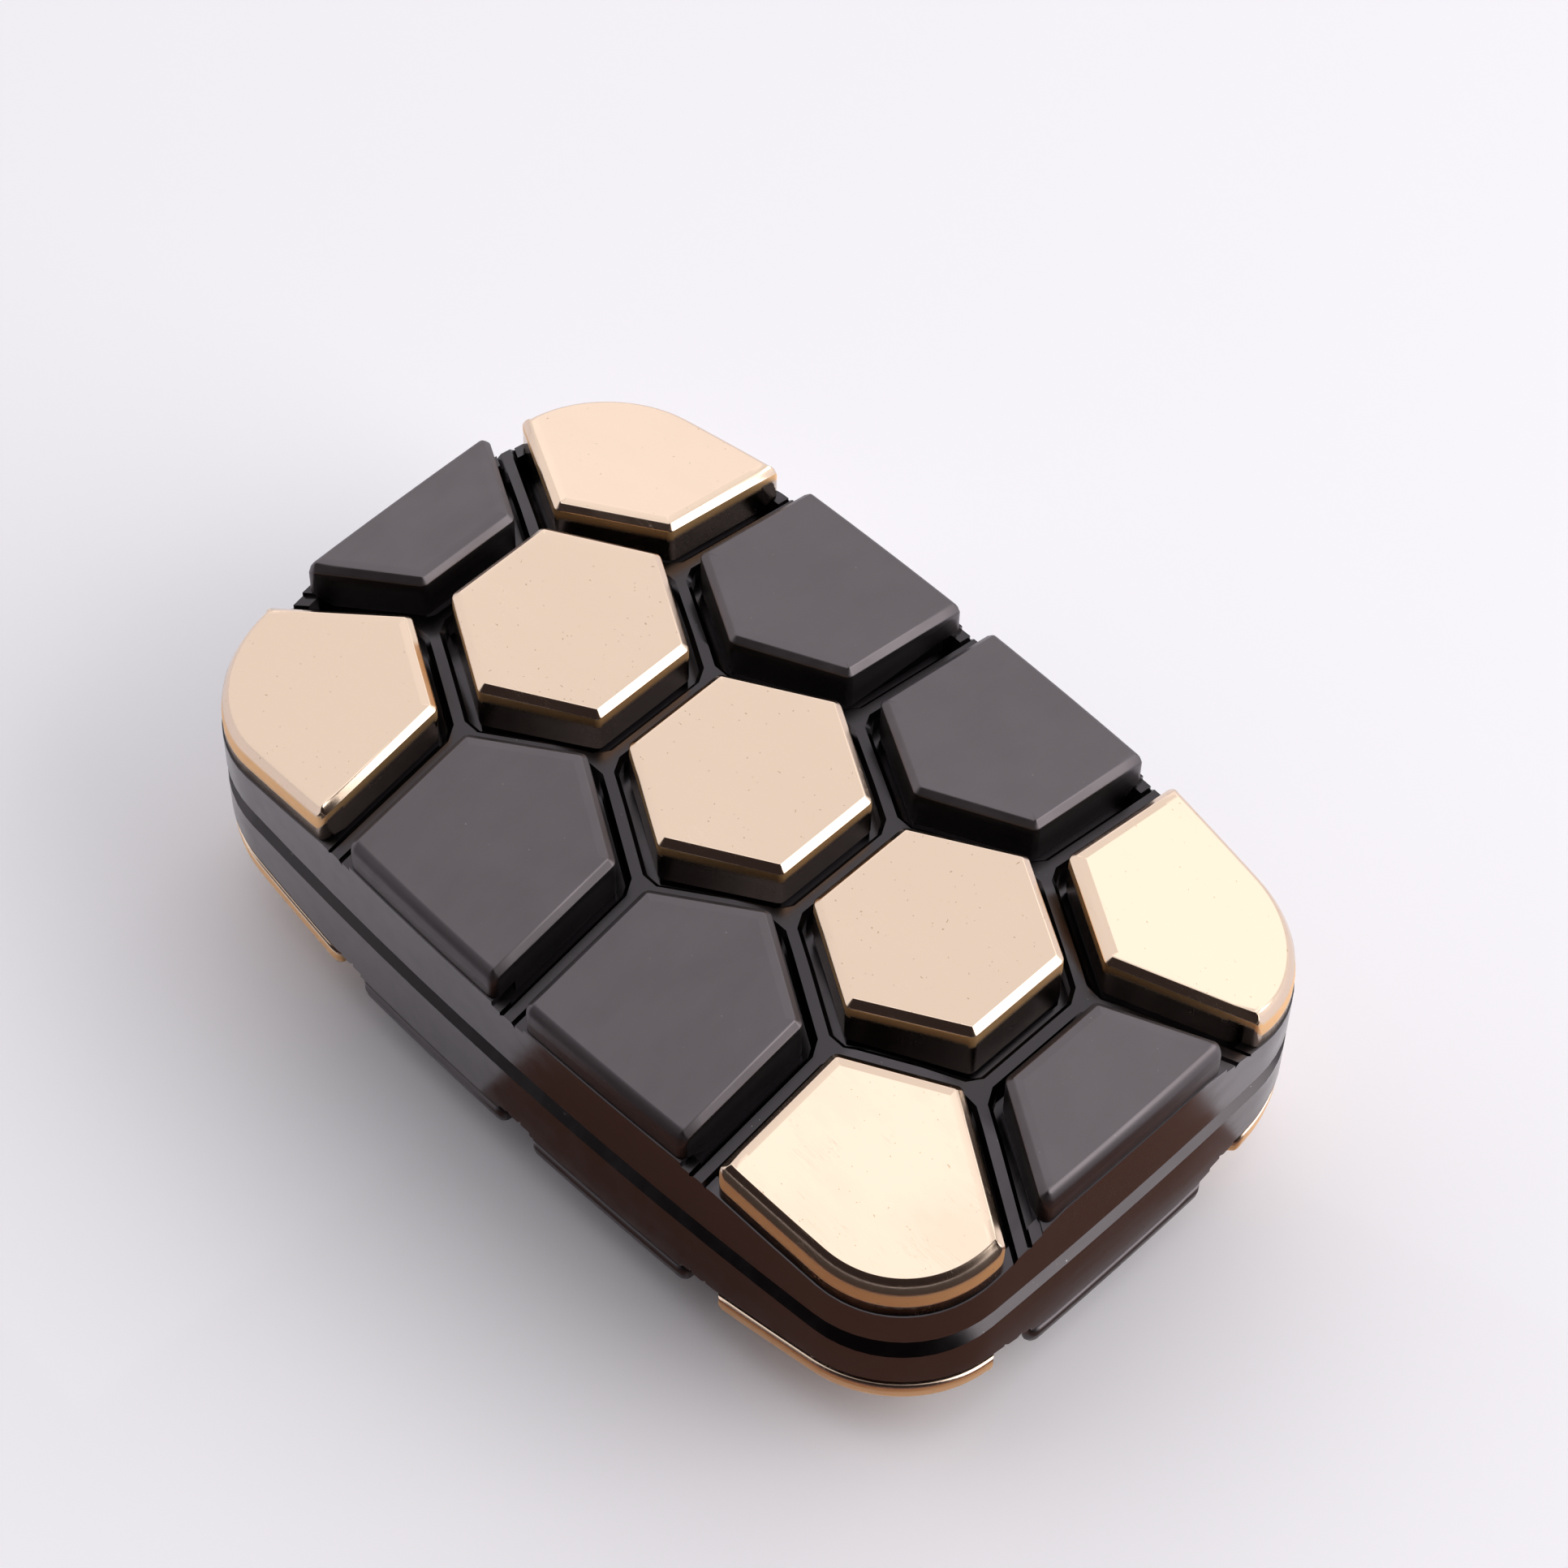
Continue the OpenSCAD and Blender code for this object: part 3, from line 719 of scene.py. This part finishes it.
# ---------------------------------------------------------------- stage
FLOOR = 1500
PAPER = (0.955, 0.935, 0.985)
PAPER_PALE = (0.975, 0.955, 1.0)
floor_mat, tree, bsdf = new_material("pale_floor")
bsdf.inputs["Roughness"].default_value = 0.75
paper = noise(tree, mm_coords(tree), 0.02, detail=2.0)
tree.links.new(mix_color(tree, paper, PAPER, PAPER_PALE), bsdf.inputs["Base Color"])
floor = build_mesh(
    "floor",
    [(-FLOOR, -FLOOR, 0), (FLOOR, -FLOOR, 0), (FLOOR, FLOOR, 0), (-FLOOR, FLOOR, 0)],
    [(0, 1, 2, 3)], floor_mat,
)

scene = bpy.context.scene
scene.view_settings.view_transform = "Standard"
world = bpy.data.worlds.new("studio")
scene.world = world
world.use_nodes = True
wt = world.node_tree
background = wt.nodes["Background"]
direction = add(wt, "ShaderNodeTexCoord").outputs["Generated"]


def along(axis):
    """Cosine between the direction looked in and an axis."""
    node = add(wt, "ShaderNodeVectorMath", operation="DOT_PRODUCT")
    node.inputs[1].default_value = Vector(axis).normalized()
    wt.links.new(direction, node.inputs[0])
    return node.outputs["Value"]


# a pale sky, dark on the viewer's side, brighter overhead and at a window behind the slider
SKY = (1.0, 0.995, 1.01)
SHADE = (0.030, 0.022, 0.022)
SHADE_AXIS = (0.5, -0.8, 0.3)
ZENITH_AXIS = (-0.02, -0.01, 1.0)
ZENITH_GAIN = 1.55
WINDOW_AXIS = (-0.68, 0.54, 0.50)
WINDOW_GAIN = 1.28
dark = ramp(wt, along(SHADE_AXIS), 0.32, 0.66)
sky = mix_color(wt, dark, SKY, SHADE)
wt.links.new(sky, background.inputs["Color"])
zenith = ramp(wt, along(ZENITH_AXIS), 0.945, 0.999, 1.0, ZENITH_GAIN)
window = ramp(wt, along(WINDOW_AXIS), 0.93, 0.99, 1.0, WINDOW_GAIN)
wt.links.new(math_node(wt, "MULTIPLY", zenith, window), background.inputs["Strength"])


SOFTBOX_SIZE = 0.5
AIM = Vector((0.0, 0.0, 0.01))


def softbox(name, at, power, color):
    """A square lamp at a point, in metres, turned to the slider."""
    light = bpy.data.lights.new(name, "AREA")
    light.shape = "RECTANGLE"
    light.size = light.size_y = SOFTBOX_SIZE
    light.energy = power
    light.color = color
    obj = bpy.data.objects.new(name, light)
    scene.collection.objects.link(obj)
    obj.location = at
    obj.rotation_euler = (AIM - Vector(at)).to_track_quat("-Z", "Y").to_euler()


softbox("back", (0.10, 0.585, 0.45), 0.40, (0.97, 1.0, 0.97))
softbox("side", (0.46, 0.26, 0.32), 1.7, (1.0, 0.98, 0.95))

FLAG_Z = 0.3


def flag(name, color, near_mm, far_mm, first, last):
    """A card round the viewer's side of the slider, FLAG_Z mm up, from near_mm to far_mm out and
    from angle first to last, in degrees. It is seen only in reflections: a painted reflection that
    stands in for the surroundings near the slider, in the card's colour."""
    mat, tree, bsdf = new_material(name)
    bsdf.inputs["Base Color"].default_value = (*color, 1)
    bsdf.inputs["Roughness"].default_value = 1.0
    turns = [math.radians(a) for a in range(first, last + 1)]
    rows = [[(*outline_point(a, -reach), FLAG_Z) for a in turns] for reach in (near_mm, far_mm)]
    n = len(turns)
    faces = [(k, n + k, n + k + 1, k + 1) for k in range(n - 1)]
    card = build_mesh(name, rows[0] + rows[1], faces, mat)
    card.visible_camera = False
    card.visible_shadow = False
    card.visible_diffuse = False


# painted reflections: a brown card for warm skin close to the slider, a black card for dark shade
# further out
flag("painted_skin_reflection_card", (0.25, 0.115, 0.078), 1.5, 26, -91, 14)
flag("painted_shade_card", (0.03, 0.022, 0.02), 26, 380, -115, 15)

# ---------------------------------------------------------------- camera
SENSOR_MM = 36.0
LENS_MM = 108.93
CLIP_START = 0.01
camera_data = bpy.data.cameras.new("camera")
camera = bpy.data.objects.new("camera", camera_data)
scene.collection.objects.link(camera)
camera_data.sensor_width = SENSOR_MM
camera_data.lens = LENS_MM
camera_data.clip_start = CLIP_START
CAMERA_AT = Vector((0.09993, -0.10046, 0.21998))
CAMERA_AZIMUTH = math.radians(134.134)
CAMERA_DOWN = math.radians(54.853)
CAMERA_ROLL = math.radians(1.479)
forward = Vector((
    math.cos(CAMERA_DOWN) * math.cos(CAMERA_AZIMUTH),
    math.cos(CAMERA_DOWN) * math.sin(CAMERA_AZIMUTH),
    -math.sin(CAMERA_DOWN),
))
turn = forward.to_track_quat("-Z", "Y").to_matrix().to_4x4()
camera.matrix_world = Matrix.Translation(CAMERA_AT) @ turn @ Matrix.Rotation(CAMERA_ROLL, 4, "Z")
scene.camera = camera

bpy.context.view_layer.update()
